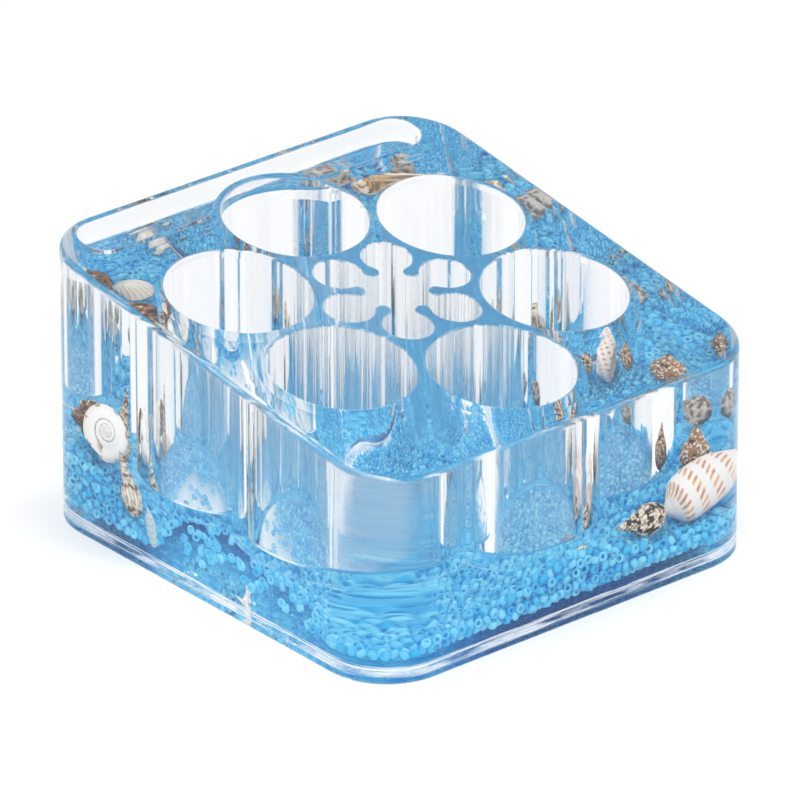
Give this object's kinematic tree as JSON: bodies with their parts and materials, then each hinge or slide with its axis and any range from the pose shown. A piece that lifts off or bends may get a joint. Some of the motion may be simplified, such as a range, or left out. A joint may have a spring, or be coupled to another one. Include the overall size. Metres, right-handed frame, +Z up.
{
  "type": "makeup organizer",
  "caption": "Clear wedge-shaped makeup holder with round wells, a flower-shaped middle well and a back tray; its sealed walls hold liquid, blue seed beads and sea shells.",
  "frame": {"origin": "middle of the underside of the base plate, on the surface that the holder stands on", "axes": "+Z up, -Y towards the low front, +X to the right as seen from the front"},
  "size_m": [0.108, 0.115, 0.0651],
  "materials": {
    "clear_acrylic": "polished",
    "cured_adhesive": "satin",
    "clear_liquid": "polished",
    "sky_blue_beads": "gloss",
    "moon_shell_lime": "satin",
    "ribbed_whelk_lime": "satin",
    "brown_murex_lime": "satin",
    "speckled_auger_lime": "satin",
    "cockle_valve_lime": "satin",
    "striped_bonnet_lime": "satin",
    "mottled_nassa_lime": "satin",
    "mottled_turban_lime": "satin",
    "grey_whelk_lime": "satin",
    "grey_turban_lime": "satin",
    "banded_nerite_lime": "satin",
    "pale_olive_lime": "satin",
    "buried_nassa_lime": "satin"
  },
  "bodies": {
    "holder": {"body_moulding": "clear_acrylic", "base_plate": "clear_acrylic", "seam_adhesive": "cured_adhesive", "fill_plug": "clear_acrylic", "liquid_fill": "clear_liquid", "bead_bed": "sky_blue_beads", "loose_beads": "sky_blue_beads", "pale_olive": "pale_olive_lime", "buried_nassa": "buried_nassa_lime"},
    "moon_shell": {"moon_shell": "moon_shell_lime"},
    "ribbed_whelk": {"ribbed_whelk": "ribbed_whelk_lime"},
    "brown_murex": {"brown_murex": "brown_murex_lime"},
    "speckled_auger": {"speckled_auger": "speckled_auger_lime"},
    "cockle_valve": {"cockle_valve": "cockle_valve_lime"},
    "striped_bonnet": {"striped_bonnet": "striped_bonnet_lime"},
    "mottled_nassa": {"mottled_nassa": "mottled_nassa_lime"},
    "mottled_turban": {"mottled_turban": "mottled_turban_lime"},
    "grey_whelk": {"grey_whelk": "grey_whelk_lime"},
    "grey_turban": {"grey_turban": "grey_turban_lime"},
    "banded_nerite": {"banded_nerite": "banded_nerite_lime"}
  },
  "joints": [
    {"name": "moon_shell_lift", "type": "slide", "parent": "holder", "child": "moon_shell", "axis": [0, 0, 1], "range_m": [0, 0.0265], "deforming": ["liquid_fill"]},
    {"name": "ribbed_whelk_lift", "type": "slide", "parent": "holder", "child": "ribbed_whelk", "axis": [0, 0, 1], "range_m": [0, 0.0335], "deforming": ["liquid_fill"]},
    {"name": "brown_murex_lift", "type": "slide", "parent": "holder", "child": "brown_murex", "axis": [0, 0, 1], "range_m": [0, 0.0305], "deforming": ["liquid_fill"]},
    {"name": "speckled_auger_lift", "type": "slide", "parent": "holder", "child": "speckled_auger", "axis": [0, 0, 1], "range_m": [0, 0.024], "deforming": ["liquid_fill"]},
    {"name": "cockle_valve_lift", "type": "slide", "parent": "holder", "child": "cockle_valve", "axis": [0, 0, 1], "range_m": [0, 0.0415], "deforming": ["liquid_fill"]},
    {"name": "striped_bonnet_lift", "type": "slide", "parent": "holder", "child": "striped_bonnet", "axis": [0, 0, 1], "range_m": [0, 0.021], "deforming": ["liquid_fill"]},
    {"name": "mottled_nassa_lift", "type": "slide", "parent": "holder", "child": "mottled_nassa", "axis": [0, 0, 1], "range_m": [0, 0.026], "deforming": ["liquid_fill"]},
    {"name": "mottled_turban_lift", "type": "slide", "parent": "holder", "child": "mottled_turban", "axis": [0, 0, 1], "range_m": [0, 0.02], "deforming": ["liquid_fill"]},
    {"name": "grey_whelk_lift", "type": "slide", "parent": "holder", "child": "grey_whelk", "axis": [0, 0, 1], "range_m": [0, 0.029], "deforming": ["liquid_fill"]},
    {"name": "grey_turban_lift", "type": "slide", "parent": "holder", "child": "grey_turban", "axis": [0, 0, 1], "range_m": [0, 0.031], "deforming": ["liquid_fill"]},
    {"name": "banded_nerite_lift", "type": "slide", "parent": "holder", "child": "banded_nerite", "axis": [0, 0, 1], "range_m": [0, 0.031], "deforming": ["liquid_fill"]}
  ]
}
